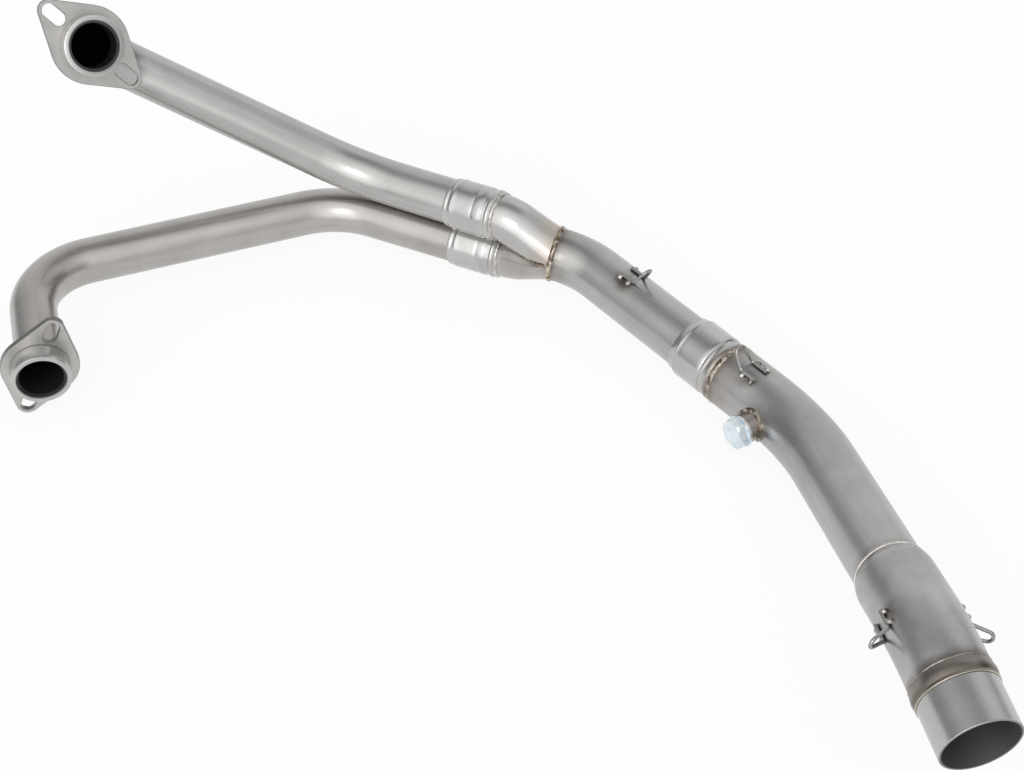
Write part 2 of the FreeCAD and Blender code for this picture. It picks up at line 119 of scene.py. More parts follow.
# Port flanges: outline, openings and bevel, and the clock of each one's slots
FLANGE_THICKNESS = 5.0
FLANGE_BODY_R = 31.0
FLANGE_LOBE_R = 8.6
FLANGE_HOLE_R = 20.85
FLANGE_SLOT_R = 5.6
FLANGE_SLOT_INNER = 31.0
FLANGE_SLOT_OUTER = 41.0
FLANGE_BEVEL = 0.45
FLANGE_CLOCKS = {"upper": -32, "lower": 26}
FLANGE_ARC_POINTS = 22
FLANGE_HOLE_POINTS = 72
FLANGE_SLOT_POINTS = 16

# Pressed collector inlets: lead and bend, how square the pressed half gets, gap and wall, the
# length that their look is laid out on, and the rows and points of their mesh
INLET_LEAD = 2.5
INLET_BEND_RUN = 9.0
INLET_SQUARENESS = 1.3
INLET_GAP = 0.1
INLET_WALL = 1.5
INLET_SPAN = 60
INLET_ROWS = 44
INLET_POINTS = 96

# Weld in the valley between the inlets: size, place and the waves of its surface
SEAM_TWIST = math.radians(20)
SEAM_RADIUS = 2.15
SEAM_START = 0.36
SEAM_INSET = 1.2
SEAM_SINK = 0.85
SEAM_SCALLOP = 0.16
SEAM_SCALLOP_RATE = 0.62
SEAM_DRIFT = 0.8
SEAM_DRIFT_RATE = 0.11
SEAM_LUMP = 0.12
SEAM_LUMP_RATE = 0.23
SEAM_TIP_SHARE = 0.35
SEAM_TIP_ROWS = 14
SEAM_ROWS = 150
SEAM_POINTS = 16

# Middle socket and end band: station and radius
MID_SOCKET_PROFILE = [
    (459.5, 22.45), (459.5, 23.3), (459.0, 23.7), (458.3, 23.6), (453.0, 25.0), (452.4, 25.45), (451.6, 25.6),
    (450.9, 25.45), (450.2, 25.25), (448.5, 25.4),
    (426.6, 25.4), (425.9, 25.2), (425.1, 24.5), (424.3, 24.6), (423.5, 25.0), (422.6, 24.75), (420.9, 24.55),
    (420.1, 24.8), (419.5, 25.35), (418.6, 25.6), (417.0, 25.6), (415.9, 25.2), (415.0, 24.4), (415.0, 23.9),
    (425.0, 23.9), (425.0, 22.45)]
BAND_PROFILE = [
    (36.0, 27.0), (36.0, 29.1), (36.4, 29.5), (37.2, 29.55), (37.9, 29.2), (38.7, 29.0), (39.6, 29.3),
    (40.8, 29.75), (42.4, 29.95), (44.0, 29.9), (45.6, 29.65), (47.2, 29.3), (48.4, 28.9), (49.6, 28.7),
    (49.6, 27.0)]


class Route:
    """A centreline of straight runs and tangent arcs, in millimetres."""

    def __init__(self, corners, radii):
        points = [np.array(corner, float) for corner in corners]
        self.spans = []
        here = points[0]
        station = 0.0
        for before, corner, after, radius in zip(points, points[1:], points[2:], radii):
            arriving = unit(corner - before)
            leaving = unit(after - corner)
            turn = math.acos(max(-1.0, min(1.0, float(arriving @ leaving))))
            tangent = radius * math.tan(turn / 2)
            arc_start = corner - arriving * tangent
            self.spans.append((station, here, arriving, None, None))
            station += np.linalg.norm(arc_start - here)
            axis = unit(np.cross(arriving, leaving))
            centre = arc_start + np.cross(axis, arriving) * radius
            self.spans.append((station, arc_start, arriving, centre, radius))
            station += radius * turn
            here = corner + leaving * tangent
        self.spans.append((station, here, unit(points[-1] - points[-2]), None, None))
        self.length = station + np.linalg.norm(points[-1] - here)

    def at(self, station):
        """Point and direction at a station; past both ends the line runs on straight."""
        span = self.spans[0]
        for candidate in self.spans:
            if station >= candidate[0]:
                span = candidate
        first, start, direction, centre, radius = span
        travel = station - first
        if centre is None:
            return start + direction * travel, direction
        spoke = unit(start - centre)
        angle = travel / radius
        point = centre + radius * (math.cos(angle) * spoke + math.sin(angle) * direction)
        return point, math.cos(angle) * direction - math.sin(angle) * spoke

    def frame(self, station):
        """Point, direction, and the upper and side directions of clock 0 and 90."""
        point, direction = self.at(station)
        upper = unit(np.array([0, 0, 1.0]) - direction * direction[2])
        return point, direction, upper, np.cross(direction, upper)


def unit(vector):
    return vector / np.linalg.norm(vector)


upper_route = Route(UPPER_CORNERS, UPPER_RADII)
lower_route = Route(LOWER_CORNERS, LOWER_RADII)
main_route = Route(MAIN_CORNERS, MAIN_RADII)

# The solids were moved so that their origin is under the middle of the part.
outlet_mount = next(mount for mount in frame["record"]["mounts"] if mount["name"] == "outlet")
TO_ORIGIN = np.array(outlet_mount["pos_m"]) / MM - main_route.at(SLEEVE_END / 2)[0]


def node(tree, kind, settings=None, **inputs):
    """A shader node with its sockets set or linked by name, with _ for spaces, or as i0, i1 by number."""
    made = tree.nodes.new(kind)
    for key, value in (settings or {}).items():
        setattr(made, key, value)
    for key, value in inputs.items():
        numbered = key[0] == "i" and key[1:].isdigit()
        socket = made.inputs[int(key[1:]) if numbered else key.replace("_", " ")]
        if isinstance(value, bpy.types.NodeSocket):
            tree.links.new(value, socket)
        else:
            socket.default_value = value
    return made


def maths(tree, operation, a, b=0.0):
    return node(tree, "ShaderNodeMath", {"operation": operation}, i0=a, i1=b).outputs[0]


def noise(tree, vector, scale, stretch=(1, 1, 1), detail=3.0, roughness=0.55):
    """Noise between about 0.25 and 0.75, stretched by its three scales."""
    mapped = node(tree, "ShaderNodeMapping", Vector=vector, Scale=stretch)
    return node(tree, "ShaderNodeTexNoise", Vector=mapped.outputs[0], Scale=scale, Detail=detail,
                Roughness=roughness).outputs["Fac"]


def remap(tree, value, low, high, to_low, to_high):
    return node(tree, "ShaderNodeMapRange", Value=value, From_Min=low, From_Max=high,
                To_Min=to_low, To_Max=to_high).outputs[0]


def mix_colour(tree, factor, first, second):
    made = node(tree, "ShaderNodeMix", {"data_type": "RGBA"}, i0=factor)
    for socket, value in ((made.inputs[6], first), (made.inputs[7], second)):
        if isinstance(value, bpy.types.NodeSocket):
            tree.links.new(value, socket)
        else:
            socket.default_value = (*value, 1)
    return made.outputs[2]


def new_material(name):
    material = bpy.data.materials.new(name)
    material.use_nodes = True
    tree = material.node_tree
    tree.nodes.clear()
    output = tree.nodes.new("ShaderNodeOutputMaterial")
    shader = tree.nodes.new("ShaderNodeBsdfPrincipled")
    tree.links.new(shader.outputs[0], output.inputs[0])
    return material, tree, shader


def tube_place(tree):
    """Place on a straightened tube: station, and the two directions across it, in metres."""
    return node(tree, "ShaderNodeAttribute", {"attribute_name": "tube"}).outputs["Vector"]


# Heat tints; dull greys for painted shade, with soot, in the bores and a wide dulling of the link tube; and a
# painted highlight on the band's front rim
STRAW = (0.48, 0.37, 0.24)
BROWN = (0.20, 0.15, 0.115)
UMBER = (0.17, 0.145, 0.125)
DARK = (0.115, 0.095, 0.08)
# Painted highlight for the band's front rim
BAND_RIM_HIGHLIGHT = (0.58, 0.53, 0.45)
# Dull greys that paint shade, with soot, inside the bores
DULL_GREY = (0.17, 0.17, 0.165)
PORT_BORE_SHADE = (0.09, 0.088, 0.085)
OUTLET_BORE_SHADE = (0.27, 0.27, 0.26)
TINT_RAGGEDNESS = 0.22


def steel(name, colour, roughness, grain=(5, 120, 120), grain_depth=0.03, tints=(), spread=0.05,
          spots=(), inside=None, patches=0.06, bore_shade=DULL_GREY):
    """Drawn or turned stainless: fine grain, faint clouds and heat tint by the welds.

    Each tint is a station and a reach in millimetres, a strength and a colour, and
    each spot a place on the tube with the same. Inside the given radius it gets
    painted shade, with soot: darker and rougher.
    """
    material, tree, shader = new_material(name)
    where = tube_place(tree)
    grain_fine = noise(tree, where, 9.0, grain, 4.0, 0.6)
    grain_wide = noise(tree, where, 2.2, grain, 2.0)
    clouds = noise(tree, where, 34.0, (1, 1, 1), 3.0)
    shade = remap(tree, grain_wide, 0.3, 0.7, 1 - spread, 1 + spread)
    shade = maths(tree, "MULTIPLY", shade, remap(tree, clouds, 0.3, 0.7, 1 - patches, 1 + patches))
    base = node(tree, "ShaderNodeVectorMath", {"operation": "SCALE"}, i0=colour, Scale=shade).outputs[0]
    station = node(tree, "ShaderNodeSeparateXYZ", Vector=where).outputs[0]
    ragged = remap(tree, noise(tree, where, 60.0, (1, 1, 1), 3.0), 0.3, 0.7, -1.0, 1.0)
    for centre, reach, strength, tint in tints:
        away = maths(tree, "ABSOLUTE", maths(tree, "SUBTRACT", station, centre * MM))
        base = tinted(tree, base, away, ragged, reach, strength, tint)
    for centre, reach, strength, tint in spots:
        gap = node(tree, "ShaderNodeVectorMath", {"operation": "DISTANCE"}, i0=where, i1=centre)
        away = gap.outputs["Value"]
        base = tinted(tree, base, away, ragged, reach, strength, tint)
    rough = remap(tree, grain_fine, 0.3, 0.7, roughness - spread, roughness + spread)
    # Painted shade, with soot, inside the bore: darker and rougher below the given radius.
    if inside is not None:
        across = node(tree, "ShaderNodeVectorMath", {"operation": "MULTIPLY"}, i0=where, i1=(0, 1, 1))
        radius = node(tree, "ShaderNodeVectorMath", {"operation": "LENGTH"}, i0=across.outputs[0])
        bore_shade_mask = remap(tree, radius.outputs["Value"], (inside - 0.1) * MM, (inside + 0.1) * MM, 1.0, 0.0)
        base = mix_colour(tree, bore_shade_mask, base, bore_shade)
        rough = maths(tree, "ADD", rough, maths(tree, "MULTIPLY", bore_shade_mask, 0.25))
    tree.links.new(base, shader.inputs["Base Color"])
    shader.inputs["Metallic"].default_value = 1.0
    tree.links.new(rough, shader.inputs["Roughness"])
    bump = node(tree, "ShaderNodeBump", Height=grain_fine, Distance=grain_depth * MM, Strength=0.5)
    tree.links.new(bump.outputs[0], shader.inputs["Normal"])
    return material


def tinted(tree, base, away, ragged, reach, strength, tint):
    """The base colour with a heat tint that fades out over its reach, with a ragged edge."""
    away = maths(tree, "ADD", away, maths(tree, "MULTIPLY", ragged, reach * MM * TINT_RAGGEDNESS))
    near = node(tree, "ShaderNodeMapRange", {"interpolation_type": "SMOOTHSTEP"}, Value=away,
                From_Min=0.0, From_Max=reach * MM, To_Min=strength, To_Max=0.0).outputs[0]
    return mix_colour(tree, near, base, tint)


def tube_spot(station, turn, radius, reach, strength, tint):
    """A round mark on a tube, at a station in millimetres and a clock in radians; it paints heat tint, and
    round the link hook's feet painted shade too.
    """
    centre = (station * MM, radius * math.cos(turn) * MM, radius * math.sin(turn) * MM)
    return centre, reach, strength, tint


def hook_spots(name, strength, tint):
    """Dark marks round the welds at both feet of a hook: heat tint, and at the link hook painted shade as
    well.
    """
    station, clock, lean, radius = HOOKS[name]
    spots = []
    for side in (1, -1):
        turn = math.radians(clock) + side * TACK_SIDE / radius
        spots.append(tube_spot(station - lean * TACK_MIDDLE, turn, radius, TACK_MARK_REACH, strength, tint))
    return spots


def object_place(tree):
    """Place in the part's own frame, in metres."""
    return node(tree, "ShaderNodeTexCoord").outputs["Object"]


def plate_steel(name, colour, roughness, dimples=0.06):
    """Plain tumbled steel of a plate or a small piece, with fine dimples and scratches."""
    material, tree, shader = new_material(name)
    where = object_place(tree)
    clouds = noise(tree, where, 60.0, (1, 1, 1), 4.0)
    fine = noise(tree, where, 700.0, (1, 1, 1), 2.0)
    shade = remap(tree, clouds, 0.3, 0.7, 0.9, 1.08)
    base = node(tree, "ShaderNodeVectorMath", {"operation": "SCALE"}, i0=colour, Scale=shade).outputs[0]
    tree.links.new(base, shader.inputs["Base Color"])
    shader.inputs["Metallic"].default_value = 1.0
    rough = remap(tree, fine, 0.3, 0.7, roughness - 0.06, roughness + 0.08)
    tree.links.new(rough, shader.inputs["Roughness"])
    height = maths(tree, "ADD", fine, maths(tree, "MULTIPLY", clouds, 1.5))
    bump = node(tree, "ShaderNodeBump", Height=height, Distance=dimples * MM, Strength=0.6)
    tree.links.new(bump.outputs[0], shader.inputs["Normal"])
    return material


def weld_metal(name, colour, tint, amount=0.5):
    """Weld metal: bright and rough, mottled with straw and brown oxide."""
    material, tree, shader = new_material(name)
    where = object_place(tree)
    mottle = noise(tree, where, 260.0, (1, 1, 1), 3.0)
    fine = noise(tree, where, 900.0, (1, 1, 1), 2.0)
    factor = remap(tree, mottle, 0.38, 0.62, 0.0, amount)
    tree.links.new(mix_colour(tree, factor, colour, tint), shader.inputs["Base Color"])
    shader.inputs["Metallic"].default_value = 1.0
    tree.links.new(remap(tree, fine, 0.3, 0.7, 0.2, 0.42), shader.inputs["Roughness"])
    bump = node(tree, "ShaderNodeBump", Height=mottle, Distance=0.15 * MM, Strength=0.7)
    tree.links.new(bump.outputs[0], shader.inputs["Normal"])
    return material


def zinc(name):
    """Bluish bright zinc plating."""
    material, tree, shader = new_material(name)
    where = object_place(tree)
    clouds = noise(tree, where, 120.0, (1, 1, 1), 3.0)
    base = mix_colour(tree, remap(tree, clouds, 0.35, 0.65, 0.0, 1.0), (0.80, 0.86, 0.90), (0.62, 0.70, 0.76))
    tree.links.new(base, shader.inputs["Base Color"])
    shader.inputs["Metallic"].default_value = 0.9
    tree.links.new(remap(tree, clouds, 0.3, 0.7, 0.25, 0.4), shader.inputs["Roughness"])
    bump = node(tree, "ShaderNodeBump", Height=noise(tree, where, 500.0), Distance=0.03 * MM, Strength=0.5)
    tree.links.new(bump.outputs[0], shader.inputs["Normal"])
    return material


# Meshes: points round a tube, about how far apart its rings are, and the turn that counts as an edge
SEGMENTS = 112
RING_STEP = 3.0
SHARP = math.radians(32)

# Weld beads: how deep they root in the tube, and two waves that make their ripples uneven, each
# a share of the height and a count round the tube
BEAD_ROOT = 0.4
WOBBLES = [(0.35, 7), (0.25, 17)]
WOBBLE_SHIFT = 0.4


def mark_sharp(mesh):
    """Smooth shading everywhere but across edges that turn sharply."""
    normals = [polygon.normal for polygon in mesh.polygons]
    beside = {}
    for polygon in mesh.polygons:
        for key in polygon.edge_keys:
            beside.setdefault(key, []).append(polygon.index)
    for edge in mesh.edges:
        faces = beside[edge.key] if edge.key in beside else beside[edge.key[::-1]]
        edge.use_edge_sharp = len(faces) == 2 and normals[faces[0]].angle(normals[faces[1]], 0) > SHARP
    mesh.polygons.foreach_set("use_smooth", [True] * len(mesh.polygons))


def lathe(name, route, profile, material, replaced, lift=None, segments=SEGMENTS):
    """Closed surface of revolution about a route.

    The profile is a closed loop of (station, radius) points. A lift adds to the
    radius by station and clock, such as the ripples of a weld.
    """
    loop = []
    for (s0, r0), (s1, r1) in zip(profile, profile[1:] + profile[:1]):
        steps = max(1, round(abs(s1 - s0) / RING_STEP))
        for step in range(steps):
            share = step / steps
            loop.append((s0 + (s1 - s0) * share, r0 + (r1 - r0) * share))
    clocks = np.linspace(0, 2 * math.pi, segments, endpoint=False) + math.pi
    points = []
    places = []
    for station, radius in loop:
        point, _, upper, side = route.frame(station)
        for clock in clocks:
            reach = radius + (lift(station, clock) if lift else 0.0)
            spoke = math.cos(clock) * upper + math.sin(clock) * side
            points.append((point + spoke * reach + TO_ORIGIN) * MM)
            places.append((station * MM, radius * math.cos(clock) * MM, radius * math.sin(clock) * MM))
    faces = ring_faces(len(loop), segments, True)
    return add_piece(name, points, faces, material, replaced, places)


def ring_faces(rows, count, closed):
    """Faces between rings of points that follow each other; closed joins the last to the first."""
    faces = []
    for row in range(rows if closed else rows - 1):
        start = row * count
        ahead = (row + 1) % rows * count
        for column in range(count):
            right = (column + 1) % count
            faces.append((start + column, start + right, ahead + right, ahead + column))
    return faces


def add_piece(name, points, faces, material, replaced, places=None):
    """A piece from points in metres, in the place of the CAD nodes that it replaces."""
    mesh = bpy.data.meshes.new(name)
    mesh.from_pydata([tuple(point) for point in points], [], faces)
    if places is not None:
        layer = mesh.attributes.new("tube", "FLOAT_VECTOR", "POINT")
        layer.data.foreach_set("vector", np.array(places, np.float32).ravel())
    mesh.update()
    if signed_volume(mesh) < 0:
        mesh.flip_normals()
    mark_sharp(mesh)
    piece = bpy.data.objects.new(name, mesh)
    bpy.context.scene.collection.objects.link(piece)
    mesh.materials.append(material)
    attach(piece, "root")
    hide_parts(*replaced)
    return piece


def signed_volume(mesh):
    """Volume inside a closed mesh, below zero where its faces look inward."""
    mesh.calc_loop_triangles()
    points = np.array([vertex.co for vertex in mesh.vertices])
    corners = np.array([triangle.vertices for triangle in mesh.loop_triangles])
    a, b, c = points[corners[:, 0]], points[corners[:, 1]], points[corners[:, 2]]
    return float(np.einsum("ij,ij->i", a, np.cross(b, c)).sum() / 6)


def ring_profile(first, last, outer, inner, edge=0.25):
    """Tube wall from one station to another, with lightly rounded end edges."""
    return [(first, inner), (first, outer - edge), (first + edge, outer), (last - edge, outer),
            (last, outer - edge), (last, inner)]


def ripple(height, count, lean=0.0, seed=0.0):
    """Scalloped ripples of a weld: low arcs that follow each other round the bead."""
    def lift(station, clock):
        wobble = 0.0
        for order, (share, waves) in enumerate(WOBBLES, 1):
            wobble += share * math.sin(waves * clock + order * seed)
        phase = (clock * count / (2 * math.pi) + wobble * WOBBLE_SHIFT + lean * station) % 1.0
        return height * (1 - (2 * phase - 1) ** 2) - height * 0.5 + height * 0.5 * wobble
    return lift


def bead_profile(first, last, radius, height, steps=8, start_extra=0.0):
    """Arch of a weld bead on a tube, of which start_extra raises the first edge."""
    rows = [(first, radius - BEAD_ROOT)]
    for step in range(steps + 1):
        share = step / steps
        arch = math.sin(math.pi * share) * height + (1 - share) * start_extra
        rows.append((first + (last - first) * share, radius + arch))
    rows.append((last, radius - BEAD_ROOT))
    return rows


# Looks of the tubes, with tints where the welds and bends were hot, and painted shade, with soot, inside
# their bores
# The headers' bores get a near-black painted shade, with soot.
header_look = steel(
    "header_look", (0.435, 0.428, 0.418), 0.29, tints=[(423, 12, 0.25, STRAW)], inside=HEADER_R - 0.25,
    bore_shade=PORT_BORE_SHADE)
lower_header_look = steel(
    "lower_header_look", (0.43, 0.415, 0.40), 0.29, tints=[(513, 110, 0.5, (0.33, 0.29, 0.255))],
    inside=HEADER_R - 0.25, bore_shade=PORT_BORE_SHADE)
collector_look = steel(
    "collector_look", (0.43, 0.423, 0.413), 0.29, tints=[(614, 13, 0.9, DARK), (608, 30, 0.35, UMBER)],
    spots=hook_spots("collector_hook", 1.0, DARK), inside=COLLECTOR_R - 0.3)
link_look = steel(
    "link_look", (0.42, 0.413, 0.405), 0.31,
    # A wide dull-grey tint darkens the middle of the link tube.
    tints=[(412.5, 8, 0.9, UMBER), (409, 20, 0.4, BROWN), (156, 7, 0.25, UMBER), (300, 110, 0.2, DULL_GREY)],
    # Round the link hook's feet the dark spots are painted shade as well as heat tint.
    spots=[*hook_spots("link_hook", 0.6, DARK),
           tube_spot(BOSS, math.radians(BOSS_CLOCK), LINK_R, 23, 0.8, UMBER)],
    inside=LINK_R - 0.3)
end_look = steel(
    "end_look", (0.415, 0.412, 0.408), 0.34, grain=(30, 40, 40), grain_depth=0.015, spread=0.03, patches=0.14,
    tints=[(49, 9, 0.72, DARK), (152.5, 10, 0.95, UMBER)],
    spots=hook_spots("left_end_hook", 0.6, DARK) + hook_spots("right_end_hook", 0.6, DARK))
# The band's front rim gets a thin painted highlight line.
band_look = steel(
    "band_look", (0.25, 0.228, 0.208), 0.30,
    tints=[(47.5, 6, 0.3, DARK), (39.5, 4, 0.6, DARK), (36.1, 0.8, 0.9, BAND_RIM_HIGHLIGHT)],
    inside=END_R - 0.3)
# Inside the outlet the sleeve gets a lighter painted shade, with soot.
sleeve_look = steel(
    "sleeve_look", (0.47, 0.47, 0.47), 0.28, grain=(40, 8, 8), grain_depth=0.003, spread=0.02, patches=0.04,
    inside=END_R - 0.3, bore_shade=OUTLET_BORE_SHADE)
socket_look = steel(
    "socket_look", (0.49, 0.485, 0.475), 0.20, grain=(24, 10, 10), grain_depth=0.005, spread=0.03,
    patches=0.10)
upper_inlet_look = steel(
    "upper_inlet_look", (0.47, 0.46, 0.45), 0.25, grain=(10, 14, 14), grain_depth=0.004, spread=0.02,
    tints=[(63, 9, 0.85, BROWN), (59, 26, 0.35, STRAW)])
lower_inlet_look = steel(
    "lower_inlet_look", (0.45, 0.435, 0.42), 0.26, grain=(10, 14, 14), grain_depth=0.004, spread=0.02,
    tints=[(62, 12, 0.5, UMBER), (30, 40, 0.25, BROWN)])
mid_socket_look = steel(
    "mid_socket_look", (0.46, 0.456, 0.448), 0.20, grain=(24, 10, 10), grain_depth=0.005, spread=0.03,
    patches=0.08, tints=[(415, 5, 0.75, BROWN)])

# Looks of the welds and the small pieces
weld_look = weld_metal("weld_look", (0.56, 0.51, 0.44), (0.13, 0.095, 0.07), 1.0)
dark_weld_look = weld_metal("dark_weld_look", (0.44, 0.38, 0.32), (0.12, 0.085, 0.06), 1.0)
ring_weld_look = weld_metal("ring_weld_look", (0.62, 0.56, 0.46), (0.13, 0.09, 0.06), 1.0)
pale_weld_look = weld_metal("pale_weld_look", (0.62, 0.61, 0.59), (0.34, 0.31, 0.28), 0.7)
band_weld_look = weld_metal("band_weld_look", (0.36, 0.33, 0.30), (0.16, 0.13, 0.10), 0.8)
bright_weld_look = weld_metal("bright_weld_look", (0.86, 0.85, 0.83), (0.46, 0.44, 0.41), 0.6)
tack_look = weld_metal("tack_look", (0.62, 0.60, 0.57), (0.10, 0.085, 0.07), 1.0)
flange_look = plate_steel("flange_look", (0.50, 0.49, 0.475), 0.40, 0.03)
cut_look = plate_steel("cut_look", (0.24, 0.235, 0.23), 0.38, 0.03)
# Inside its bore the collar gets painted shade, with soot.
collar_look = steel(
    "collar_look", (0.50, 0.495, 0.485), 0.30, grain=(40, 6, 6), grain_depth=0.008, spread=0.03,
    inside=COLLAR_BORE)
wire_look = plate_steel("wire_look", (0.34, 0.34, 0.335), 0.16, 0.005)
boss_look = plate_steel("boss_look", (0.33, 0.305, 0.285), 0.30, 0.02)
washer_look = plate_steel("washer_look", (0.62, 0.62, 0.60), 0.3, 0.02)
zinc_look = zinc("zinc_look")


def map_tube(item, route, reach=60.0, step=1.0):
    """Gives a carried-over solid the same place values as a lathe piece."""
    stations = np.arange(-reach, route.length + reach, step)
    frames = [route.frame(station) for station in stations]
    tree = KDTree(len(stations))
    for index, (point, _, _, _) in enumerate(frames):
        tree.insert(Vector(point), index)
    tree.balance()
    places = np.zeros((len(item.data.vertices), 3), np.float32)
    for index, vertex in enumerate(item.data.vertices):
        point = np.array(item.matrix_world @ vertex.co) / MM - TO_ORIGIN
        nearest = tree.find(Vector(point))[1]
        middle, direction, upper, side = frames[nearest]
        offset = point - middle
        places[index] = (stations[nearest] + offset @ direction, offset @ upper, offset @ side)
    layer = item.data.attributes.new("tube", "FLOAT_VECTOR", "POINT")
    layer.data.foreach_set("vector", (places * MM).ravel())


# Looks of the solids that are carried over; those that are replaced below get theirs there.
NODE_LOOKS = {
    "link_tube": link_look, "sensor_boss": boss_look, "plug_washer": washer_look, "blanking_plug": zinc_look}
for name, item in frame["nodes"].items():
    look = NODE_LOOKS.get(name, weld_look)
    if name in HOOKS:
        look = wire_look
    elif "hook" in name:
        look = tack_look
    item.data.materials.clear()
    item.data.materials.append(look)
map_tube(frame["nodes"]["link_tube"], main_route)

# Header tubes with their sockets and collars
for side, route, look in (("upper", upper_route, header_look), ("lower", lower_route, lower_header_look)):
    mouth = route.length - SOCKET_LENGTH + SOCKET_REAR
    lathe(side + "_header_visual", route,
          ring_profile(HEADER_START, mouth + SOCKET_DEPTH, HEADER_R, HEADER_R - HEADER_WALL),
          look, [side + "_header_tube"])
    lathe(side + "_socket_visual", route, [(mouth + along, radius) for along, radius in SOCKET_PROFILE],
          socket_look, [side + "_slip_socket"])
    rear = route.length + SOCKET_REAR
    socket_bead = bead_profile(
        rear - 0.3, rear + 3.2, radius=HEADER_R + 0.3, height=1.1, steps=8, start_extra=0.5)
    lathe(side + "_socket_weld_visual", route, socket_bead, pale_weld_look,
          [side + "_socket_weld"], ripple(0.12, 40, seed=2.0), 240)
    lathe(side + "_collar_visual", route, COLLAR_PROFILE, collar_look,
          [side + "_port_collar"])


def flange_loops(depth):
    """Outline, hole and both slots of a port flange, each set back into the plate by the depth."""
    body = FLANGE_BODY_R - depth
    lobe = FLANGE_LOBE_R - depth
    hole_radius = FLANGE_HOLE_R + depth
    slot_radius = FLANGE_SLOT_R + depth
    reach = FLANGE_SLOT_OUTER
    lean = math.asin((body - lobe) / reach)
    square = math.pi / 2
    arcs = [(reach, lobe, lean - square, square - lean),
            (0, body, square - lean, square + lean),
            (-reach, lobe, square + lean, 3 * square - lean),
            (0, body, 3 * square - lean, 3 * square + lean)]
    outline = []
    for centre, radius, first, last in arcs:
        for turn in np.linspace(first, last, FLANGE_ARC_POINTS):
            outline.append((centre + radius * math.cos(turn), radius * math.sin(turn)))
    hole = []
    for turn in np.linspace(0, 4 * square, FLANGE_HOLE_POINTS, endpoint=False):
        hole.append((hole_radius * math.cos(turn), hole_radius * math.sin(turn)))
    loops = [outline, hole]
    for side in (1, -1):
        slot = []
        for end, way in ((FLANGE_SLOT_OUTER, 1), (FLANGE_SLOT_INNER, -1)):
            for turn in np.linspace(-square, square, FLANGE_SLOT_POINTS):
                slot.append((side * (end + way * slot_radius * math.cos(turn)),
                             side * way * slot_radius * math.sin(turn)))
        loops.append(slot)
    return loops


def in_flange_opening(place):
    """Whether a point of the plate lies in its hole or a slot."""
    along = abs(place.x)
    nearest = min(max(along, FLANGE_SLOT_INNER), FLANGE_SLOT_OUTER)
    return place.length < FLANGE_HOLE_R or math.hypot(along - nearest, place.y) < FLANGE_SLOT_R


def flange_triangles():
    """Triangles of the plate's face, as numbers of its loops' points."""
    places = []
    edges = []
    for loop in flange_loops(FLANGE_BEVEL):
        start = len(places)
        count = len(loop)
        places += [Vector(place) for place in loop]
        edges += [(start + step, start + (step + 1) % count) for step in range(count)]
    spots, _, triangles, sources, _, _ = delaunay_2d_cdt(places, edges, [], 0, 1e-6)
    kept = []
    for triangle in triangles:
        middle = sum((spots[corner] for corner in triangle), Vector((0, 0))) / 3
        if not in_flange_opening(middle):
            kept.append([sources[corner][0] for corner in triangle])
    return kept


def flange_walls(levels):
    """Faces between levels of the same loops, of which the outline looks outward."""
    faces = []
    for below, above in zip(levels, levels[1:]):
        for index, ((low, count), (high, _)) in enumerate(zip(below, above)):
            for step in range(count):
                ahead = (step + 1) % count
                wall = (low + step, low + ahead, high + ahead, high + step)
                faces.append(wall if index == 0 else wall[::-1])
    return faces


def flange(side, route):
    """Two-lobed plate with bevelled edges, a hole and a slot in each lobe."""
    point, direction, upper, across = route.frame(0)
    clock = math.radians(FLANGE_CLOCKS[side])
    spoke = math.cos(clock) * upper + math.sin(clock) * across
    cross = np.cross(direction, spoke)
    points = []
    levels = []
    for height, depth in ((0, FLANGE_BEVEL), (FLANGE_BEVEL, 0), (FLANGE_THICKNESS - FLANGE_BEVEL, 0),
                          (FLANGE_THICKNESS, FLANGE_BEVEL)):
        starts = []
        for loop in flange_loops(depth):
            starts.append((len(points), len(loop)))
            for x, y in loop:
                points.append((point + direction * height + spoke * x + cross * y + TO_ORIGIN) * MM)
        levels.append(starts)
    faces = flange_walls(levels)
    walls = len(faces)
    top = levels[-1][0][0]
    for corners in flange_triangles():
        faces.append(tuple(corners[::-1]))
        faces.append(tuple(corner + top for corner in corners))
    plate = add_piece(side + "_flange_visual", points, faces, flange_look,
                      [side + "_flange"])
    plate.data.materials.append(cut_look)
    for polygon in plate.data.polygons[:walls]:
        polygon.material_index = 1


flange("upper", upper_route)
flange("lower", lower_route)


def inlet_route(route):
    """Centreline of one collector inlet: a lead, a bend and a run to the merge point."""
    start, direction = route.at(route.length + SOCKET_REAR)
    merge = main_route.at(main_route.length)[0]
    knee = start + direction * (INLET_LEAD + INLET_BEND_RUN)
    turn = math.acos(float(direction @ unit(merge - knee)))
    return Route([start, knee, merge], [INLET_BEND_RUN / math.tan(turn / 2)])


INLET_ROUTES = {1: inlet_route(upper_route), -1: inlet_route(lower_route)}
MERGE, OUTWARD = main_route.at(main_route.length)


def seam_normal():
    """Direction from the lower inlet to the upper, square to the plane in which they meet."""
    starts = [INLET_ROUTES[side].at(0)[0] for side in (1, -1)]
    along = unit(MERGE - (starts[0] + starts[1]) / 2)
    return unit(np.cross(unit(np.cross(along, starts[0] - starts[1])), along))


SEAM_NORMAL = seam_normal()
SEAM_FRONT = unit(np.cross(SEAM_NORMAL, OUTWARD))
if SEAM_FRONT[1] > 0:
    SEAM_FRONT = -SEAM_FRONT


def seam_plane(share):
    """Normal of the plane between the inlets, which turns about the collector near the ring."""
    turn = SEAM_TWIST * max(0.0, share) ** 3
    return math.cos(turn) * SEAM_NORMAL - math.sin(turn) * SEAM_FRONT


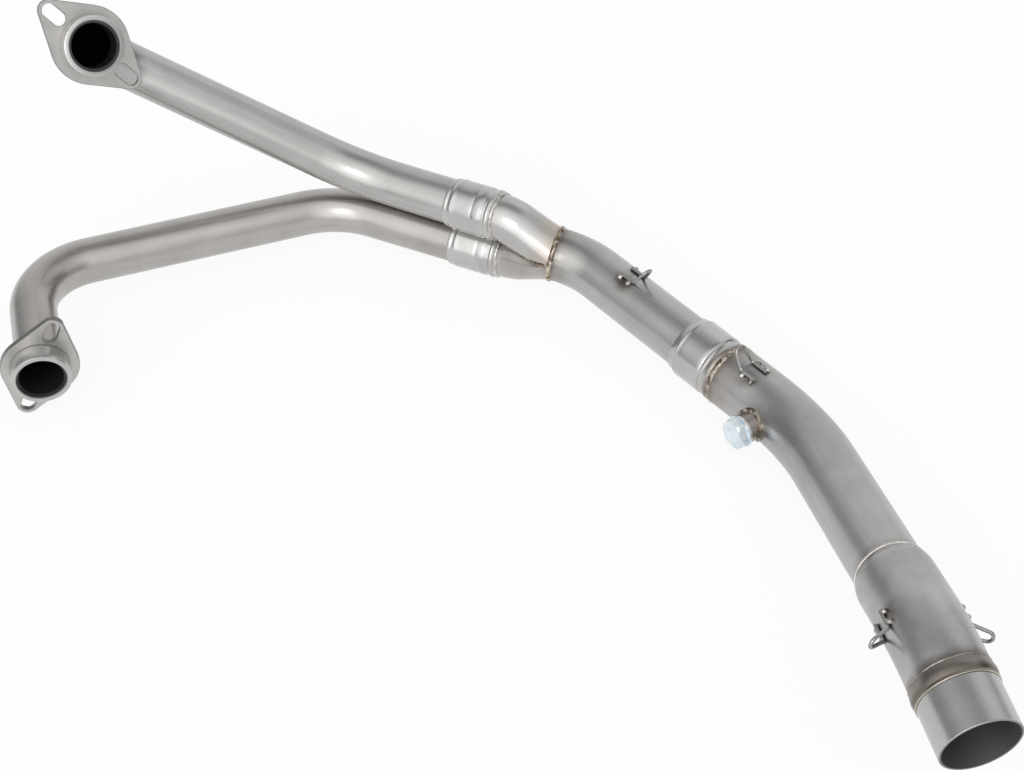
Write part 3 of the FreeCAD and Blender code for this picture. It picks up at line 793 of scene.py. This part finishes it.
def inlet_section(side, share):
    """Centre, axes, radius, pressed height and squareness of an inlet's section.

    Past its lead the tube grows to the collector's radius, while the half that
    faces the other inlet is pressed flat.
    """
    route = INLET_ROUTES[side]
    centre, direction = route.at(INLET_LEAD + share * (route.length - INLET_LEAD))
    grown = max(0.0, share)
    normal = unit(direction * (1 - grown) - OUTWARD * grown)
    away = seam_plane(share) * side
    rise = unit(away - normal * (away @ normal))
    slope = rise @ away
    radius = HEADER_R + (COLLECTOR_R - HEADER_R) * grown ** 2
    lead_height = (route.at(INLET_LEAD)[0] - MERGE) @ away / slope
    height = (centre - MERGE) @ away / slope
    spare = (lead_height - HEADER_R) * (1 - grown) ** 3
    press = max(height - spare - INLET_GAP / 2, INLET_GAP / 2)
    return centre, np.cross(normal, rise), rise, radius, press, 2 + INLET_SQUARENESS * grown


def inlet_outline(side, share, inset):
    """Points round one section and their places across the tube, drawn in by the inset.

    One half is round, and the half that faces the other inlet is pressed.
    """
    centre, across, rise, radius, press, power = inlet_section(side, share)
    wide = radius - inset
    lift = max(0.0, inset - press)
    outline = []
    for turn in np.linspace(0, 2 * math.pi, INLET_POINTS, endpoint=False):
        out = math.cos(turn)
        high = math.sin(turn)
        if high < 0:
            reach = math.copysign(abs(out) ** (2 / power), out) * wide
            tall = lift - max(press - inset, 0.0) * abs(high) ** (2 / power)
        else:
            reach = out * wide
            tall = lift + (wide - lift) * high
        outline.append((centre + across * reach + rise * tall, wide * out, wide * high))
    return outline


def inlet(name, side, look):
    """Open inlet whose round section turns to a D toward the ring weld."""
    route = INLET_ROUTES[side]
    first = -INLET_LEAD / (route.length - INLET_LEAD)
    shares = np.linspace(first, 1, INLET_ROWS)
    rows = [(share, 0.0) for share in shares] + [(share, INLET_WALL) for share in reversed(shares)]
    points = []
    places = []
    for share, inset in rows:
        for spot, out, high in inlet_outline(side, share, inset):
            points.append((spot + TO_ORIGIN) * MM)
            places.append((share * INLET_SPAN * MM, out * MM, high * MM))
    add_piece(name + "_inlet_visual", points, ring_faces(len(rows), INLET_POINTS, True), look,
              [name + "_collector_inlet"], places)


inlet("upper", 1, upper_inlet_look)
inlet("lower", -1, lower_inlet_look)


def seam_line(way):
    """Middle of the seam weld on one side: where both inlets' outlines come near their plane."""
    line = []
    for share in np.linspace(SEAM_START, 1, SEAM_ROWS):
        middle = np.zeros(3)
        for side in (1, -1):
            centre, across, _, radius, press, power = inlet_section(side, share)
            sunk = max(0.0, 1 - SEAM_SINK * SEAM_RADIUS / press)
            reach = min(radius * (1 - sunk ** power) ** (1 / power), radius - SEAM_INSET)
            middle += (centre + across * (way * side * reach)) / 2
        plane = seam_plane(share)
        line.append(middle - plane * ((middle - MERGE) @ plane))
    return line


def seam_weld(label, way):
    """Wavy bead of weld down the valley on one side, where the two inlets meet."""
    line = seam_line(way)
    points = []
    for row, place in enumerate(line):
        ahead = unit(line[min(row + 1, SEAM_ROWS - 1)] - line[max(row - 1, 0)])
        across = unit(np.cross(ahead, SEAM_NORMAL))
        taper = min(1.0, SEAM_TIP_SHARE + row / SEAM_TIP_ROWS)
        drift = SEAM_DRIFT * math.sin(row * SEAM_DRIFT_RATE)
        scallop = SEAM_SCALLOP * math.sin(row * SEAM_SCALLOP_RATE + drift)
        for turn in np.linspace(0, 2 * math.pi, SEAM_POINTS, endpoint=False):
            lump = SEAM_LUMP * math.sin(row * SEAM_LUMP_RATE + 2 * turn)
            wide = (SEAM_RADIUS + scallop + lump) * taper
            spot = across * math.cos(turn) * wide + SEAM_NORMAL * math.sin(turn) * wide
            points.append((place + spot + TO_ORIGIN) * MM)
    faces = ring_faces(SEAM_ROWS, SEAM_POINTS, False)
    faces.append(tuple(range(SEAM_POINTS - 1, -1, -1)))
    faces.append(tuple(range((SEAM_ROWS - 1) * SEAM_POINTS, SEAM_ROWS * SEAM_POINTS)))
    add_piece("seam_weld_%s_visual" % label, points, faces, dark_weld_look,
              ["collector_seam_weld"])


seam_weld("front", 1)
seam_weld("back", -1)

# The collector tube, its welds and the middle socket
collector_start = MID_JOINT + MID_LENGTH - MID_DEPTH
merge = main_route.length
lathe("collector_tube_visual", main_route,
      ring_profile(collector_start, merge, COLLECTOR_R, COLLECTOR_R - COLLECTOR_WALL),
      collector_look, ["collector_tube"])
ring_bead = bead_profile(merge - 3.0, merge + 2.0, radius=COLLECTOR_R, height=1.45, steps=10)
lathe("ring_weld_visual", main_route, ring_bead, ring_weld_look,
      ["collector_ring_weld"], ripple(0.38, 58, lean=0.2, seed=1.0), 464)
lathe("mid_socket_visual", main_route, MID_SOCKET_PROFILE, mid_socket_look,
      ["mid_slip_socket"])
mid_bead = bead_profile(MID_JOINT - 4.2, MID_JOINT, radius=LINK_R - 0.1, height=0.55, steps=8)
lathe("mid_weld_visual", main_route, mid_bead, weld_look,
      ["mid_socket_weld"], ripple(0.12, 50, lean=0.2, seed=3.0), 300)

# The end tube with its rounded shoulder, and its welds, band and sleeve
end_outer = [(BAND_END, END_R)]
for along in np.arange(0, SHOULDER_LENGTH + SHOULDER_STEP / 2, SHOULDER_STEP):
    fall = SHOULDER_RISE * along - SHOULDER_CURVE * along ** 2
    end_outer.append((SHOULDER - SHOULDER_LENGTH + along, END_R + min(0.0, fall)))
end_inner = [(station, radius - END_WALL) for station, radius in reversed(end_outer)]
lathe("end_tube_visual", main_route, end_outer + end_inner, end_look, ["end_tube"])
shoulder_bead = bead_profile(
    SHOULDER - 1.4, SHOULDER + 1.8, radius=LINK_R, height=1.25, steps=8, start_extra=0.5)
lathe("shoulder_weld_visual", main_route, shoulder_bead, bright_weld_look,
      ["shoulder_weld"], ripple(0.10, 64, seed=4.0), 384)
lathe("end_band_visual", main_route, BAND_PROFILE, band_look, ["end_band"])
band_bead = bead_profile(BAND_END - 0.8, BAND_END + 0.7, radius=END_R, height=0.6, steps=6)
lathe("band_weld_visual", main_route, band_bead, band_weld_look,
      ["band_weld"], ripple(0.08, 70, seed=5.0), 384)
lathe("outlet_sleeve_visual", main_route,
      ring_profile(0, SLEEVE_END, END_R, END_R - END_WALL, 0.35), sleeve_look, ["outlet_sleeve"])

# The floor is nearly white to the camera and in reflections, and matt grey to other light.
FLOOR_SIZE = 14.0
FLOOR_DROP = 0.0002
FLOOR_GREY = (0.86, 0.86, 0.86, 1)
FLOOR_WHITE_SHARE = 0.9
WHITE = (1.0, 1.0, 1.0, 1.0)

floor_mesh = bpy.data.meshes.new("floor")
half = FLOOR_SIZE / 2
floor_corners = [(-half, -half, 0), (half, -half, 0), (half, half, 0), (-half, half, 0)]
floor_mesh.from_pydata(floor_corners, [], [(0, 1, 2, 3)])
floor = bpy.data.objects.new("floor", floor_mesh)
floor.location.z = cad_box[0][2] - FLOOR_DROP
bpy.context.scene.collection.objects.link(floor)
floor_look = bpy.data.materials.new("floor_look")
floor_look.use_nodes = True
floor_tree = floor_look.node_tree
floor_tree.nodes.clear()
path = floor_tree.nodes.new("ShaderNodeLightPath")
seen = maths(floor_tree, "MAXIMUM", path.outputs["Is Glossy Ray"], path.outputs["Is Transmission Ray"])
seen = maths(floor_tree, "MAXIMUM", seen, path.outputs["Is Camera Ray"])
matt = node(floor_tree, "ShaderNodeBsdfDiffuse", Color=FLOOR_GREY)
bright = node(floor_tree, "ShaderNodeEmission", Color=WHITE, Strength=1.0)
share = maths(floor_tree, "MULTIPLY", seen, FLOOR_WHITE_SHARE)
mixed = node(floor_tree, "ShaderNodeMixShader", i0=share, i1=matt.outputs[0], i2=bright.outputs[0])
floor_output = floor_tree.nodes.new("ShaderNodeOutputMaterial")
floor_tree.links.new(mixed.outputs[0], floor_output.inputs[0])
floor_mesh.materials.append(floor_look)


def toward(azimuth, elevation):
    """Unit direction: azimuth from the front (-Y) towards +X, and height over the floor."""
    level = math.cos(math.radians(elevation))
    return Vector((math.sin(math.radians(azimuth)) * level, -math.cos(math.radians(azimuth)) * level,
                   math.sin(math.radians(elevation))))


def glow(tree, direction, centre, inner, outer, strength):
    """Soft round patch of light in the world, given as angles from its centre."""
    near = node(tree, "ShaderNodeVectorMath", {"operation": "DOT_PRODUCT"}, i0=direction, i1=centre)
    return node(tree, "ShaderNodeMapRange", {"interpolation_type": "SMOOTHSTEP"}, Value=near.outputs["Value"],
                From_Min=math.cos(math.radians(outer)), From_Max=math.cos(math.radians(inner)),
                To_Min=0.0, To_Max=strength).outputs[0]


# The studio: grey walls, a darker ceiling and soft patches of light and shade that the steel
# reflects, each with its centre, inner and outer angle and strength. The camera sees white.
WALL_LEVEL = 0.62
CEILING_LEVEL = 0.44
PATCHES = [
    (toward(-22, 38), 10, 72, 1.45), (toward(-15, 4), 5, 38, 0.45), (toward(80, 42), 6, 34, 0.6),
    (toward(134, 36), 6, 30, 0.4), (toward(180, 16), 12, 56, 0.6),
    (toward(105, 10), 8, 28, -0.32), (toward(-108, 12), 8, 34, -0.15)]
world = bpy.data.worlds.new("studio")
bpy.context.scene.world = world
world.use_nodes = True
sky = world.node_tree
sky.nodes.clear()
direction = sky.nodes.new("ShaderNodeTexCoord").outputs["Generated"]
height = node(sky, "ShaderNodeSeparateXYZ", Vector=direction).outputs[2]
level = remap(sky, height, 0.1, 0.95, WALL_LEVEL, CEILING_LEVEL)
for centre, inner, outer, strength in PATCHES:
    level = maths(sky, "ADD", level, glow(sky, direction, centre, inner, outer, strength))
room = node(sky, "ShaderNodeBackground", Strength=level)
white = node(sky, "ShaderNodeBackground", Color=WHITE, Strength=1.0)
is_camera = sky.nodes.new("ShaderNodeLightPath").outputs["Is Camera Ray"]
both = node(sky, "ShaderNodeMixShader", i0=is_camera, i1=room.outputs[0], i2=white.outputs[0])
sky_output = sky.nodes.new("ShaderNodeOutputWorld")
sky.links.new(both.outputs[0], sky_output.inputs[0])


def softbox(name, centre, distance, size, power):
    """Square soft lamp that looks at the middle of the part."""
    lamp = bpy.data.lights.new(name, "AREA")
    lamp.shape = "SQUARE"
    lamp.size = size
    lamp.energy = power
    holder = bpy.data.objects.new(name, lamp)
    holder.location = centre * distance
    holder.rotation_euler = (-centre).to_track_quat("-Z", "Y").to_euler()
    bpy.context.scene.collection.objects.link(holder)


softbox("key", toward(-20, 38), distance=4.0, size=1.6, power=17.0)

# The camera stands where the photo was taken from: its place is in the routes' own millimetres.
CAMERA_PLACE = np.array([103.7, -1144.5, 1111.7])
CAMERA_RIGHT = unit(np.array([0.9981, 0, -0.061]))
CAMERA_VIEW = unit(np.array([-0.0423, 0.7205, -0.6922]))
FOCAL_PIXELS = 2003
IMAGE_WIDTH = 1024
camera_data = bpy.data.cameras.new("camera")
camera_data.sensor_fit = "HORIZONTAL"
camera_data.sensor_width = 36
camera_data.lens = FOCAL_PIXELS * camera_data.sensor_width / IMAGE_WIDTH
camera_data.clip_end = 50
camera = bpy.data.objects.new("camera", camera_data)
camera_up = unit(np.cross(CAMERA_RIGHT, CAMERA_VIEW))
place = (CAMERA_PLACE + TO_ORIGIN) * MM
camera_axes = np.column_stack([CAMERA_RIGHT, camera_up, -CAMERA_VIEW, place])
camera.matrix_world = Matrix([*camera_axes.tolist(), (0, 0, 0, 1)])
bpy.context.scene.collection.objects.link(camera)
bpy.context.scene.camera = camera
bpy.context.scene.view_settings.view_transform = "Standard"
